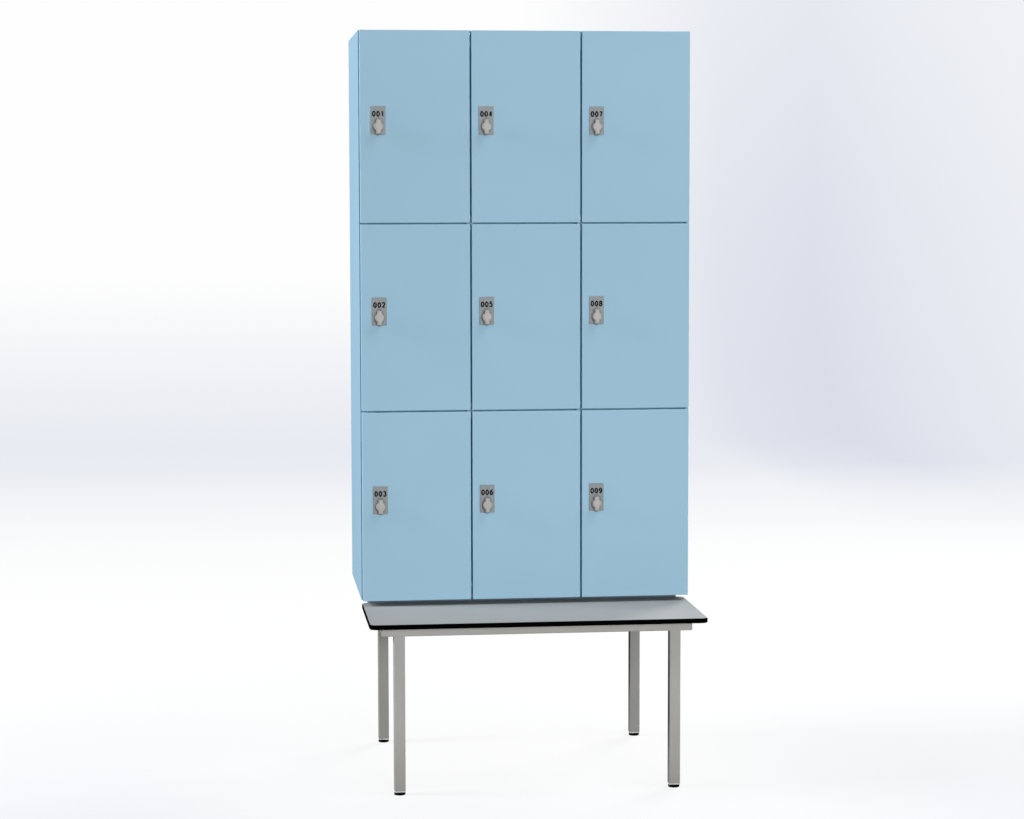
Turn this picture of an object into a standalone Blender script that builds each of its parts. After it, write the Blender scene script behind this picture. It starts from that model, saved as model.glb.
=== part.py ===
"""Changing-room locker with a bench: nine doors in three columns over a slab seat on a tube frame.

Metres, +Z up, +X to the right and the doors facing -Y. The origin is on the floor, under the
middle of the whole footprint. Doors count down each column, starting at the top left.
"""

from math import atan2, cos, pi, radians, sin, sqrt

import bmesh
import bpy
from mathutils import Matrix, Vector

# Plan of the cabinet
COLUMN_NAMES = ("left", "middle", "right")
COLUMNS = len(COLUMN_NAMES)
ROWS = 3
COLUMN_PITCH = 0.300
COMPARTMENT_HEIGHT = 0.4875
CABINET_DEPTH = 0.500
PANEL_THICKNESS = 0.019
PANEL_EDGE_RADIUS = 0.0006
BACK_THICKNESS = 0.008
# Space left between two pieces that seat on each other
FIT_GAP = 0.0003
# How far a cutter reaches past the surface that it opens
OVERRUN = 0.004
# Points closer than this are one point
WELD_DISTANCE = 0.00001

# Doors
DOOR_THICKNESS = 0.019
DOOR_SIDE_GAP = 0.005
DOOR_END_GAP = 0.0044
DOOR_BACK_GAP = 0.002
DOOR_EDGE_RADIUS = 0.0012

# Pivot hinges: a plate let into the carcass edge, an ear in the gap between doors, riveted pins
HINGE_LEVELS = ("top", "upper", "lower", "bottom")
PIVOT_FROM_EDGE = 0.006
PIVOT_FROM_FACE = 0.008
PIN_RADIUS = 0.0025
PIN_LENGTH = 0.012
PIN_PLAY = 0.00015
PIN_END_PLAY = 0.001
EAR_HALF_WIDTH = 0.004
EAR_ROOT_HALF_WIDTH = 0.0045
EAR_STRAIGHT = 0.007
EAR_THICKNESS = 0.0024
POCKET_SKIN = 0.0025
POCKET_SIDE_PLAY = 0.0006
HINGE_PLATE_WIDTH = 0.014
HINGE_PLATE_HEIGHT = 0.045
HINGE_PLATE_THICKNESS = 0.002

# Locks
LOCK_FROM_WALL = 0.0325
LOCK_ABOVE_MIDDLE = 0.001
LOCK_PLATE_WIDTH = 0.040
LOCK_PLATE_HEIGHT = 0.076
LOCK_PLATE_THICKNESS = 0.002
LOCK_PLATE_CORNER = 0.0015
LOCK_PLATE_EDGE = 0.0004
SPINDLE_BELOW_PLATE_TOP = 0.0545
BARREL_RADIUS = 0.0095
BARREL_PLAY = 0.0004
BARREL_REACH = 0.010
SPINDLE_RADIUS = 0.004
SPINDLE_PLAY = 0.0002
SPINDLE_TAIL = 0.002
KNOB_DISC_RADIUS = 0.0125
KNOB_BAR_WIDTH = 0.012
KNOB_BAR_LENGTH = 0.039
KNOB_DEPTH = 0.0175
KNOB_FILLET = 0.002
KNOB_EDGE_RADIUS = 0.001
KNOB_FLANGE_THICKNESS = 0.0025
KNOB_FLANGE_WIDTH = 0.027
KNOB_FLANGE_LENGTH = 0.047
KNOB_FLANGE_EDGE = 0.0004
CAM_THICKNESS = 0.0025
CAM_REACH = 0.038
CAM_HALF_WIDTH = 0.007
CAM_HUB_RADIUS = 0.009

# Slots in the walls, which the cams turn into
SLOT_DEPTH = 0.007
SLOT_SIDE_PLAY = 0.00075
SLOT_ABOVE_SPINDLE = 0.009
SLOT_BELOW_SPINDLE = 0.022

# Bench seat
SEAT_WIDTH = 0.895
SEAT_PROJECTION = 0.301
SEAT_UNDERLAP = 0.070
SEAT_THICKNESS = 0.013
SEAT_CORNER_RADIUS = 0.018
SEAT_EDGE_RADIUS = 0.002

# Welded tube frame
FRAME_WIDTH = 0.826
FRAME_SETBACK = 0.0515
FRAME_DEPTH = 0.684
TUBE_WIDTH = 0.030
TUBE_WALL = 0.002
TUBE_CORNER_RADIUS = 0.002
RAIL_HEIGHT = 0.027
UNDER_RAIL_HEIGHT = 0.424
CROSS_RAIL_SETBACK = 0.0565
LEG_FROM_SIDE_RAIL = 0.001
VENT_RADIUS = 0.004
# How far a tube's faces lie inside the faces of the rail that it is welded to
WELD_STEP = 0.0003

# Feet
FOOT_RADIUS = 0.015
FOOT_HEIGHT = 0.008
FOOT_EDGE = 0.0012
FOOT_STEM_RADIUS = 0.004
FOOT_STEM_LENGTH = 0.014
FOOT_STEM_PLAY = 0.0003
PLUG_FLANGE = 0.003
PLUG_DEPTH = 0.020
PLUG_EDGE_RADIUS = 0.0006

# Plinth between frame and cabinet
PLINTH_SIDE_SETBACK = 0.023
PLINTH_HEIGHT = 0.028
PLINTH_THICKNESS = 0.019
PLINTH_FRONT_SETBACK = 0.073
PLINTH_BACK_SETBACK = 0.024

# Facets of round forms
PIN_SIDES = 16
BARREL_SIDES = 20
DISC_STEPS = 6
FLANGE_STEPS = 24
FOOT_STEPS = 20
ARC_STEPS = 3
CORNER_STEPS = 2
SEAT_CORNER_STEPS = 6
SMOOTH_ANGLE = radians(35)

# Places worked out from the sizes
CABINET_WIDTH = COLUMNS * COLUMN_PITCH
CABINET_HEIGHT = ROWS * COMPARTMENT_HEIGHT + (ROWS + 1) * PANEL_THICKNESS
PLINTH_WIDTH = CABINET_WIDTH - 2 * PLINTH_SIDE_SETBACK
DEPTH = SEAT_PROJECTION + CABINET_DEPTH
DOOR_FACE_Y = SEAT_PROJECTION - DEPTH / 2
DOOR_REAR_Y = DOOR_FACE_Y + DOOR_THICKNESS
CARCASS_Y = DOOR_REAR_Y + DOOR_BACK_GAP
BACK_Y = DEPTH / 2
BACK_PANEL_Y = BACK_Y - BACK_THICKNESS
INNER_BACK_Y = BACK_PANEL_Y - FIT_GAP
LAP_Y = (CARCASS_Y + INNER_BACK_Y) / 2
SEAT_FRONT_Y = DOOR_FACE_Y - SEAT_PROJECTION
FRAME_FRONT_Y = SEAT_FRONT_Y + FRAME_SETBACK
FRAME_BACK_Y = FRAME_FRONT_Y + FRAME_DEPTH
FRAME_TOP = UNDER_RAIL_HEIGHT + RAIL_HEIGHT
LEG_WIDTH = TUBE_WIDTH - 2 * WELD_STEP
RAIL_SECTION = RAIL_HEIGHT - FIT_GAP
RAIL_MIDDLE = UNDER_RAIL_HEIGHT + RAIL_SECTION / 2
CABINET_BASE = FRAME_TOP + PLINTH_HEIGHT
CABINET_TOP = CABINET_BASE + CABINET_HEIGHT
PIVOT_Y = DOOR_FACE_Y + PIVOT_FROM_FACE
CAM_Y = DOOR_REAR_Y + BARREL_REACH + FIT_GAP
EAR_INSET = FIT_GAP + EAR_THICKNESS / 2
POCKET_DEPTH = 2 * FIT_GAP + EAR_THICKNESS

COLOURS = {
    "laminate": ((0.33, 0.52, 0.65), 0.45, 0.0),
    "compact_laminate": ((0.38, 0.41, 0.43), 0.5, 0.0),
    "tube": ((0.36, 0.35, 0.34), 0.4, 0.9),
    "zinc": ((0.26, 0.26, 0.25), 0.4, 0.9),
    "knob": ((0.45, 0.44, 0.42), 0.35, 0.6),
    "steel": ((0.08, 0.082, 0.085), 0.45, 0.8),
    "plug": ((0.55, 0.55, 0.54), 0.5, 0.0),
    "rubber": ((0.01, 0.01, 0.01), 0.7, 0.0),
}


# Scene helpers


def clear_scene():
    for obj in list(bpy.data.objects):
        bpy.data.objects.remove(obj, do_unlink=True)


def new_collection(name):
    collection = bpy.data.collections.new(name)
    bpy.context.scene.collection.children.link(collection)
    return collection


def material(name):
    found = bpy.data.materials.get(name)
    if found:
        return found
    colour, roughness, metallic = COLOURS[name]
    made = bpy.data.materials.new(name)
    made.use_nodes = True
    shader = made.node_tree.nodes["Principled BSDF"]
    shader.inputs["Base Color"].default_value = (*colour, 1.0)
    shader.inputs["Roughness"].default_value = roughness
    shader.inputs["Metallic"].default_value = metallic
    made.diffuse_color = (*colour, 1.0)
    return made


clear_scene()
PARTS = new_collection("locker_with_bench")
CUTTERS = new_collection("cutters")


def place_of(obj):
    place = Vector((0, 0, 0))
    while obj:
        place += obj.location
        obj = obj.parent
    return place


def add_piece(name, mesh, finish, origin=(0, 0, 0), parent=None):
    """Adds a mesh, drawn round its own origin, to the scene as one piece of the object."""
    piece = bpy.data.objects.new(name, mesh)
    PARTS.objects.link(piece)
    if not mesh.materials:
        mesh.name = name
        mesh.materials.append(material(finish))
        mesh.shade_smooth()
        mesh.set_sharp_from_angle(angle=SMOOTH_ANGLE)
    piece.parent = parent
    piece.location = Vector(origin) - place_of(parent)
    return piece


def add_axis(name, place, parent=None):
    """An empty on a joint's axis, which the moving pieces hang on."""
    empty = bpy.data.objects.new(name, None)
    PARTS.objects.link(empty)
    empty.parent = parent
    empty.location = Vector(place) - place_of(parent)
    return empty


def add_helper(name, mesh):
    helper = bpy.data.objects.new(name, mesh)
    CUTTERS.objects.link(helper)
    helper.hide_render = True
    helper.display_type = "WIRE"
    return helper


def finished_mesh(obj):
    """The object's mesh with its modifiers worked in."""
    graph = bpy.context.evaluated_depsgraph_get()
    return bpy.data.meshes.new_from_object(obj.evaluated_get(graph))


def combined_mesh(base, joined=(), removed=(), edge=0):
    """One solid: the base with its edges rounded, then meshes joined to it, then meshes cut from it."""
    solid = add_helper("solid", base)
    if edge:
        round_edges(solid, edge)
    used = [solid]
    for operation, meshes in (("UNION", joined), ("DIFFERENCE", removed)):
        for mesh in meshes:
            other = add_helper("other", mesh)
            used.append(other)
            combine(solid, other, operation)
    mesh = finished_mesh(solid)
    for helper in used:
        bpy.data.objects.remove(helper, do_unlink=True)
    return mesh


def combine(piece, other, operation="DIFFERENCE"):
    modifier = piece.modifiers.new(other.name, "BOOLEAN")
    modifier.operation = operation
    modifier.solver = "EXACT"
    modifier.object = other


def round_edges(piece, width):
    modifier = piece.modifiers.new("rounded_edges", "BEVEL")
    modifier.width = width
    modifier.segments = 1
    modifier.limit_method = "ANGLE"


# Shapes


def mesh_from(bm):
    mesh = bpy.data.meshes.new("mesh")
    bm.to_mesh(mesh)
    bm.free()
    return mesh


def box_mesh(low, high, origin=(0, 0, 0)):
    low, high, origin = Vector(low), Vector(high), Vector(origin)
    bm = bmesh.new()
    bmesh.ops.create_cube(bm, size=1)
    bmesh.ops.scale(bm, vec=high - low, verts=bm.verts)
    bmesh.ops.translate(bm, vec=(low + high) / 2 - origin, verts=bm.verts)
    return mesh_from(bm)


def rod_mesh(start, end, radius, sides):
    """A cylinder between two points."""
    start, end = Vector(start), Vector(end)
    along = end - start
    bm = bmesh.new()
    bmesh.ops.create_cone(
        bm,
        cap_ends=True,
        segments=sides,
        radius1=radius,
        radius2=radius,
        depth=along.length,
    )
    turn = Vector((0, 0, 1)).rotation_difference(along).to_matrix().to_4x4()
    place = Matrix.Translation((start + end) / 2)
    bmesh.ops.transform(bm, matrix=place @ turn, verts=bm.verts)
    return mesh_from(bm)


def gathered(meshes):
    """Cutters that don't touch each other, in one mesh."""
    bm = bmesh.new()
    for mesh in meshes:
        bm.from_mesh(mesh)
    return mesh_from(bm)


def flat_mesh(loops, thickness, edge=0, place=Matrix()):
    """A plate with the outlines in loops, which lie in XY, as thick as stated about Z = 0."""
    curve = bpy.data.curves.new("outline", "CURVE")
    curve.dimensions = "2D"
    curve.fill_mode = "BOTH"
    curve.extrude = thickness / 2 - edge
    curve.bevel_depth = edge
    curve.bevel_resolution = 0
    curve.offset = -edge
    for loop in loops:
        spline = curve.splines.new("POLY")
        spline.points.add(len(loop) - 1)
        for point, (x, y) in zip(spline.points, loop):
            point.co = (x, y, 0, 1)
        spline.use_cyclic_u = True
    drawn = bpy.data.objects.new("outline", curve)
    CUTTERS.objects.link(drawn)
    mesh = finished_mesh(drawn)
    bpy.data.objects.remove(drawn, do_unlink=True)
    bm = bmesh.new()
    bm.from_mesh(mesh)
    bmesh.ops.remove_doubles(bm, verts=bm.verts, dist=WELD_DISTANCE)
    bmesh.ops.transform(bm, matrix=place, verts=bm.verts)
    bmesh.ops.recalc_face_normals(bm, faces=bm.faces)
    return mesh_from(bm)


def arc(centre, radius, start, end, steps):
    """Points on an arc, angles in radians, both ends included."""
    turn = (end - start) / steps
    angles = [start + turn * step for step in range(steps + 1)]
    return [(centre[0] + radius * cos(a), centre[1] + radius * sin(a)) for a in angles]


def rectangle(width, height):
    x, y = width / 2, height / 2
    return [(x, y), (-x, y), (-x, -y), (x, -y)]


def rounded_rectangle(width, height, radius, steps=CORNER_STEPS):
    points = []
    for quarter, corner in enumerate(rectangle(width - 2 * radius, height - 2 * radius)):
        points += arc(corner, radius, quarter * pi / 2, (quarter + 1) * pi / 2, steps)
    return points


def upright(place):
    """Turns a plate drawn in XY to stand in XZ, seen from the front as it was drawn."""
    return Matrix.Translation(place) @ Matrix.Rotation(pi / 2, 4, "X")


def span(a, b):
    return min(a, b), max(a, b)


# Places of the doors and of the compartments behind them


class Bay:
    def __init__(self, column, row):
        self.column, self.row = column, row
        self.number = column * ROWS + row + 1
        left = column * COLUMN_PITCH - CABINET_WIDTH / 2
        right = left + COLUMN_PITCH
        half = PANEL_THICKNESS / 2
        self.wall_left = left + (PANEL_THICKNESS if column == 0 else half)
        self.post = right - half if column == COLUMNS - 1 else right
        self.door_left = left + DOOR_SIDE_GAP / 2
        self.door_right = right - DOOR_SIDE_GAP / 2
        self.floor = shelf_top(row + 1)
        lowest = self.floor - (PANEL_THICKNESS if row == ROWS - 1 else half)
        highest = self.floor + COMPARTMENT_HEIGHT + (PANEL_THICKNESS if row == 0 else half)
        self.door_bottom = lowest + (0 if row == ROWS - 1 else DOOR_END_GAP / 2)
        self.door_top = highest - (0 if row == 0 else DOOR_END_GAP / 2)
        self.pivot_x = self.door_right - PIVOT_FROM_EDGE
        self.lock_x = self.wall_left + LOCK_FROM_WALL
        self.lock_z = (lowest + highest) / 2 + LOCK_ABOVE_MIDDLE


def shelf_top(level):
    """Height of the top face of a horizontal board, counted from the top panel down."""
    return CABINET_TOP - level * (COMPARTMENT_HEIGHT + PANEL_THICKNESS)


def column_bays(column):
    return [bay for bay in BAYS if bay.column == column]


BAYS = [Bay(column, row) for column in range(COLUMNS) for row in range(ROWS)]


# Hinges


def ear_height(level):
    """Height of the middle of a hinge ear, counted from the top of the cabinet down."""
    if level == 0:
        return CABINET_TOP - EAR_INSET
    if level == ROWS:
        return CABINET_BASE + EAR_INSET
    return shelf_top(level) - PANEL_THICKNESS / 2


def plate_span(level):
    """Lowest and highest point of a hinge plate, which ends inside its ear at top and bottom."""
    ear = ear_height(level)
    if level == 0:
        return ear - HINGE_PLATE_HEIGHT, ear
    if level == ROWS:
        return ear, ear + HINGE_PLATE_HEIGHT
    return ear - HINGE_PLATE_HEIGHT / 2, ear + HINGE_PLATE_HEIGHT / 2


def ear_outline(post_offset):
    """The ear seen from above, round the pivot, running back and sideways to its plate."""
    slack = HINGE_PLATE_WIDTH / 2 - EAR_ROOT_HALF_WIDTH
    root = max(min(0, post_offset + slack), post_offset - slack)
    front = CARCASS_Y - PIVOT_Y - FIT_GAP
    back = CARCASS_Y - PIVOT_Y + HINGE_PLATE_THICKNESS / 2
    low_x, high_x = root - EAR_ROOT_HALF_WIDTH, root + EAR_ROOT_HALF_WIDTH
    tip = arc((0, 0), EAR_HALF_WIDTH, pi, 2 * pi, 2 * ARC_STEPS)
    right = [(EAR_HALF_WIDTH, EAR_STRAIGHT), (high_x, front), (high_x, back)]
    left = [(low_x, back), (low_x, front), (-EAR_HALF_WIDTH, EAR_STRAIGHT)]
    return tip + right + left


def build_hinge(column, level):
    """One bracket. Its origin is on the hinge axis, in the middle of its ear."""
    bay = column_bays(column)[0]
    offset = bay.post - bay.pivot_x
    height = ear_height(level)
    bottom, top = plate_span(level)
    half = HINGE_PLATE_WIDTH / 2
    front = CARCASS_Y - PIVOT_Y
    plate = box_mesh(
        (offset - half, front, bottom - height),
        (offset + half, front + HINGE_PLATE_THICKNESS, top - height),
    )
    ear = flat_mesh([ear_outline(offset)], EAR_THICKNESS)
    reach = EAR_THICKNESS / 2 + PIN_LENGTH
    low_pin = 0 if level == ROWS else -reach
    high_pin = 0 if level == 0 else reach
    pin = rod_mesh((0, 0, low_pin), (0, 0, high_pin), PIN_RADIUS, PIN_SIDES)
    name = f"hinge_{COLUMN_NAMES[column]}_{HINGE_LEVELS[level]}"
    mesh = combined_mesh(plate, [ear, pin])
    add_piece(name, mesh, "steel", (bay.pivot_x, PIVOT_Y, height))


def hinge_mortises(column):
    """The recesses for the hinge plates in the front edges of the carcass."""
    post = column_bays(column)[0].post
    half = HINGE_PLATE_WIDTH / 2 + FIT_GAP
    rear = CARCASS_Y + HINGE_PLATE_THICKNESS + FIT_GAP
    boxes = []
    half_ear = EAR_THICKNESS / 2
    for level in range(ROWS + 1):
        bottom, top = plate_span(level)
        low = (post - half, CARCASS_Y - OVERRUN, bottom - half_ear - FIT_GAP)
        boxes.append(box_mesh(low, (post + half, rear, top + half_ear + FIT_GAP)))
    return gathered(boxes)


# Carcass


def cam_slots(column):
    """The slots on the left wall of a column."""
    boxes = []
    for bay in column_bays(column):
        low = (bay.wall_left - SLOT_DEPTH, CAM_Y - SLOT_SIDE_PLAY, bay.lock_z - SLOT_BELOW_SPINDLE)
        rear = CAM_Y + CAM_THICKNESS + SLOT_SIDE_PLAY
        high = (bay.wall_left + OVERRUN, rear, bay.lock_z + SLOT_ABOVE_SPINDLE)
        boxes.append(box_mesh(low, high))
    return gathered(boxes)


def panel(name, low, high, cutters=()):
    piece = add_piece(name, box_mesh(low, high), "laminate")
    round_edges(piece, PANEL_EDGE_RADIUS)
    for cutter in cutters:
        combine(piece, cutter)
    return piece


def build_carcass():
    half_width = CABINET_WIDTH / 2
    half_panel = PANEL_THICKNESS / 2
    inner = half_width - PANEL_THICKNESS - FIT_GAP
    middle = half_width - half_panel
    low_end, high_end = CABINET_BASE + half_panel, CABINET_TOP - half_panel
    recess_low = (-middle, INNER_BACK_Y, low_end)
    recess = add_helper("back_recess", box_mesh(recess_low, (middle, BACK_Y + OVERRUN, high_end)))
    mortises = [
        add_helper(f"hinge_mortises_{name}", hinge_mortises(column))
        for column, name in enumerate(COLUMN_NAMES)
    ]
    slots = [
        add_helper(f"cam_slots_{name}", cam_slots(column))
        for column, name in enumerate(COLUMN_NAMES)
    ]

    low_x, high_x = span(-half_width, PANEL_THICKNESS - half_width)
    low, high = (low_x, CARCASS_Y, CABINET_BASE), (high_x, BACK_Y, CABINET_TOP)
    panel("side_panel_left", low, high, [recess, slots[0]])
    low, high = (-high_x, CARCASS_Y, CABINET_BASE), (-low_x, BACK_Y, CABINET_TOP)
    panel("side_panel_right", low, high, [recess, mortises[-1]])

    for name, low_z in (
        ("bottom_panel", CABINET_BASE),
        ("top_panel", CABINET_TOP - PANEL_THICKNESS),
    ):
        low = (-inner, CARCASS_Y, low_z)
        high = (inner, BACK_Y, low_z + PANEL_THICKNESS)
        panel(name, low, high, [recess, *mortises[:-1]])

    build_dividers(inner, mortises, slots)
    low = (FIT_GAP - middle, BACK_PANEL_Y, low_end + FIT_GAP)
    panel("back_panel", low, (middle - FIT_GAP, BACK_Y, high_end - FIT_GAP))


def build_dividers(inner, mortises, slots):
    """Partitions and shelves, halved into each other: the partitions are whole at the front."""
    half = PANEL_THICKNESS / 2
    rear = INNER_BACK_Y - FIT_GAP
    posts = [column_bays(column)[0].post for column in range(COLUMNS - 1)]
    levels = [shelf_top(level) for level in range(1, ROWS)]
    partition_notches = gathered(
        box_mesh(
            (-inner, LAP_Y - FIT_GAP, top - PANEL_THICKNESS - FIT_GAP),
            (inner, rear + OVERRUN, top + FIT_GAP),
        )
        for top in levels
    )
    shelf_notches = gathered(
        box_mesh(
            (post - half - FIT_GAP, CARCASS_Y - OVERRUN, CABINET_BASE),
            (post + half + FIT_GAP, LAP_Y, CABINET_TOP),
        )
        for post in posts
    )
    from_rear = add_helper("partition_notches", partition_notches)
    from_front = add_helper("shelf_notches", shelf_notches)
    low_z = CABINET_BASE + PANEL_THICKNESS + FIT_GAP
    high_z = CABINET_TOP - PANEL_THICKNESS - FIT_GAP
    for column, (name, post) in enumerate(zip(("left", "right"), posts)):
        low, high = (post - half, CARCASS_Y, low_z), (post + half, rear, high_z)
        panel(f"partition_{name}", low, high, [from_rear, mortises[column], slots[column + 1]])
    for name, top in zip(("upper", "lower"), levels):
        low = (-inner, CARCASS_Y, top - PANEL_THICKNESS)
        panel(f"shelf_{name}", low, (inner, rear, top), [from_front])


# Doors with their locks


def door_pocket(bay, end, inward):
    """Room in a door's end for the ear of the top or bottom hinge."""
    bottom, top = span(end - inward * OVERRUN, end + inward * POCKET_DEPTH)
    low_x = bay.pivot_x - EAR_HALF_WIDTH - POCKET_SIDE_PLAY
    low = (low_x, DOOR_FACE_Y + POCKET_SKIN, bottom)
    return box_mesh(low, (bay.door_right + OVERRUN, DOOR_REAR_Y + OVERRUN, top))


def build_door(bay, plate_mesh, knob_mesh):
    place = Vector((bay.pivot_x, PIVOT_Y, bay.door_bottom))
    axis = add_axis(f"door_{bay.number}_axis", place)
    low = (bay.door_left, DOOR_FACE_Y, bay.door_bottom)
    high = (bay.door_right, DOOR_REAR_Y, bay.door_top)
    door = add_piece(f"door_{bay.number}", box_mesh(low, high, place), "laminate", place, axis)
    round_edges(door, DOOR_EDGE_RADIUS)

    if bay.row == 0:
        pocket = door_pocket(bay, bay.door_top, -1)
        combine(door, add_helper(f"top_pocket_{bay.number}", pocket))
    if bay.row == ROWS - 1:
        pocket = door_pocket(bay, bay.door_bottom, 1)
        combine(door, add_helper(f"bottom_pocket_{bay.number}", pocket))

    holes = []
    for level, end, inward in ((bay.row, bay.door_top, -1), (bay.row + 1, bay.door_bottom, 1)):
        depth = EAR_THICKNESS / 2 + PIN_LENGTH + PIN_END_PLAY
        start = (bay.pivot_x, PIVOT_Y, end - inward * OVERRUN)
        stop = (bay.pivot_x, PIVOT_Y, ear_height(level) + inward * depth)
        holes.append(rod_mesh(start, stop, PIN_RADIUS + PIN_PLAY, PIN_SIDES))
    front, rear = DOOR_FACE_Y - OVERRUN, DOOR_REAR_Y + OVERRUN
    start, stop = (bay.lock_x, front, bay.lock_z), (bay.lock_x, rear, bay.lock_z)
    holes.append(rod_mesh(start, stop, BARREL_RADIUS + BARREL_PLAY, BARREL_SIDES))
    combine(door, add_helper(f"door_holes_{bay.number}", gathered(holes)))

    spindle = (bay.lock_x, DOOR_FACE_Y, bay.lock_z)
    add_piece(f"lock_plate_{bay.number}", plate_mesh, "zinc", spindle, axis)
    knob_axis = add_axis(f"knob_{bay.number}_axis", spindle, axis)
    add_piece(f"knob_{bay.number}", knob_mesh, "knob", spindle, knob_axis)


def lock_plate():
    """Cover plate and barrel. The origin is on the spindle's axis, in the door's front face."""
    front = -FIT_GAP - LOCK_PLATE_THICKNESS
    middle_z = SPINDLE_BELOW_PLATE_TOP - LOCK_PLATE_HEIGHT / 2
    outline = rounded_rectangle(LOCK_PLATE_WIDTH, LOCK_PLATE_HEIGHT, LOCK_PLATE_CORNER)
    place = upright((0, front + LOCK_PLATE_THICKNESS / 2, middle_z))
    plate = flat_mesh([outline], LOCK_PLATE_THICKNESS, LOCK_PLATE_EDGE, place)
    rear = DOOR_THICKNESS + BARREL_REACH
    start = (0, front + LOCK_PLATE_THICKNESS / 2, 0)
    barrel = rod_mesh(start, (0, rear, 0), BARREL_RADIUS, BARREL_SIDES)
    start, stop = (0, front - OVERRUN, 0), (0, rear + OVERRUN, 0)
    bore = rod_mesh(start, stop, SPINDLE_RADIUS + SPINDLE_PLAY, PIN_SIDES)
    return combined_mesh(plate, [barrel], [bore])


def grip_outline():
    """Bar and disc, rounded into each other."""
    half_width = KNOB_BAR_WIDTH / 2
    centre_x = half_width + KNOB_FILLET
    centre_y = sqrt((KNOB_DISC_RADIUS + KNOB_FILLET) ** 2 - centre_x**2)
    turn = atan2(centre_y, centre_x)
    corner = [(half_width, KNOB_BAR_LENGTH / 2)]
    corner += arc((centre_x, centre_y), KNOB_FILLET, pi, pi + turn, ARC_STEPS)
    corner += arc((0, 0), KNOB_DISC_RADIUS, turn, 0, DISC_STEPS // 2)[1:]
    right = corner + [(x, -y) for x, y in reversed(corner[:-1])]
    return right + [(-x, y) for x, y in reversed(right)]


def turn_knob():
    """Grip on an oval flange, spindle and cam. The cam hangs down while the door is free."""
    base = -2 * FIT_GAP - LOCK_PLATE_THICKNESS
    front = base - KNOB_DEPTH
    flange_middle = base - KNOB_FLANGE_THICKNESS / 2
    stretch = KNOB_FLANGE_LENGTH / KNOB_FLANGE_WIDTH
    circle = arc((0, 0), KNOB_FLANGE_WIDTH / 2, 0, 2 * pi, FLANGE_STEPS)[:-1]
    outline = [(x, y * stretch) for x, y in circle]
    place = upright((0, flange_middle, 0))
    flange = flat_mesh([outline], KNOB_FLANGE_THICKNESS, KNOB_FLANGE_EDGE, place)
    place = upright((0, (front + flange_middle) / 2, 0))
    grip = flat_mesh([grip_outline()], flange_middle - front, KNOB_EDGE_RADIUS, place)
    cam_start = CAM_Y - DOOR_FACE_Y
    tail = cam_start + CAM_THICKNESS + SPINDLE_TAIL
    spindle = rod_mesh((0, front / 2, 0), (0, tail, 0), SPINDLE_RADIUS, PIN_SIDES)
    tip = CAM_HALF_WIDTH - CAM_REACH
    outline = arc((0, 0), CAM_HUB_RADIUS, 0, pi, 2 * ARC_STEPS)
    outline += arc((0, tip), CAM_HALF_WIDTH, pi, 2 * pi, 2 * ARC_STEPS)
    place = upright((0, cam_start + CAM_THICKNESS / 2, 0))
    cam = flat_mesh([outline], CAM_THICKNESS, place=place)
    return combined_mesh(grip, [flange, spindle, cam])


# Bench


def build_seat():
    depth = SEAT_PROJECTION + SEAT_UNDERLAP
    outline = rounded_rectangle(SEAT_WIDTH, depth, SEAT_CORNER_RADIUS, SEAT_CORNER_STEPS)
    mesh = flat_mesh([outline], SEAT_THICKNESS, SEAT_EDGE_RADIUS)
    place = (0, SEAT_FRONT_Y + depth / 2, FRAME_TOP + SEAT_THICKNESS / 2)
    add_piece("bench_seat", mesh, "compact_laminate", place)


def leg_places():
    x = FRAME_WIDTH / 2 - TUBE_WIDTH - LEG_FROM_SIDE_RAIL - TUBE_WIDTH / 2
    front, rear = FRAME_FRONT_Y + TUBE_WIDTH / 2, FRAME_BACK_Y - TUBE_WIDTH / 2
    return {
        "front_left": (-x, front),
        "front_right": (x, front),
        "rear_left": (-x, rear),
        "rear_right": (x, rear),
    }


def leg_bottom():
    return FOOT_HEIGHT + PLUG_FLANGE + 2 * FIT_GAP


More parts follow.
